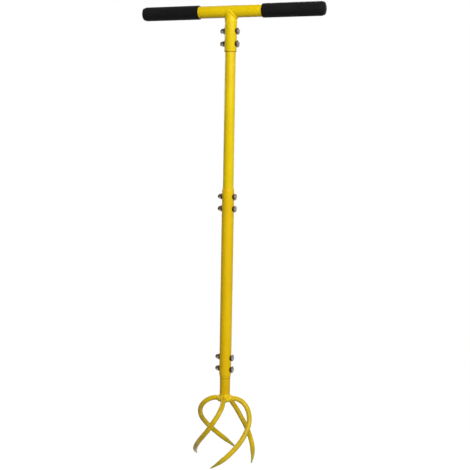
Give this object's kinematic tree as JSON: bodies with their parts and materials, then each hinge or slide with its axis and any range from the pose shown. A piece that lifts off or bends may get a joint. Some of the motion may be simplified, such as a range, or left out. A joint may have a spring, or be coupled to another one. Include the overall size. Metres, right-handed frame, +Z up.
{
  "type": "twist tiller",
  "caption": "Stand-up hand tiller: a crossbar handle on a bolted tube shaft turns a cage of curled, pointed tines into the soil.",
  "frame": {"origin": "on the floor under the shaft's axis, in the middle of the circle of tine points, with the tool standing upright", "axes": "+X along the crossbar towards the bolt heads' side, +Z up the shaft"},
  "size_m": [0.3982, 0.1336, 0.962],
  "materials": {
    "yellow_paint": "gloss powder coat on steel",
    "zinc_steel": "bright zinc plate",
    "grip_sleeve": "smooth matt black"
  },
  "bodies": {
    "root": {"handle_bar": "yellow_paint", "handle_socket": "yellow_paint", "handle_weld": "yellow_paint", "grip_left": "grip_sleeve", "grip_right": "grip_sleeve", "upper_shaft": "yellow_paint", "lower_shaft": "yellow_paint", "tine_stub": "yellow_paint", "hub_weld": "yellow_paint", "tine_1": "yellow_paint", "tine_2": "yellow_paint", "tine_3": "yellow_paint", "tine_4": "yellow_paint", "bolt_socket_1": "zinc_steel", "bolt_socket_2": "zinc_steel", "bolt_middle_1": "zinc_steel", "bolt_middle_2": "zinc_steel", "bolt_lower_1": "zinc_steel", "bolt_lower_2": "zinc_steel", "washer_socket_1": "zinc_steel", "washer_socket_2": "zinc_steel", "washer_middle_1": "zinc_steel", "washer_middle_2": "zinc_steel", "washer_lower_1": "zinc_steel", "washer_lower_2": "zinc_steel", "cap_nut_socket_1": "zinc_steel", "cap_nut_socket_2": "zinc_steel", "cap_nut_middle_1": "zinc_steel", "cap_nut_middle_2": "zinc_steel", "cap_nut_lower_1": "zinc_steel", "cap_nut_lower_2": "zinc_steel"}
  },
  "joints": []
}
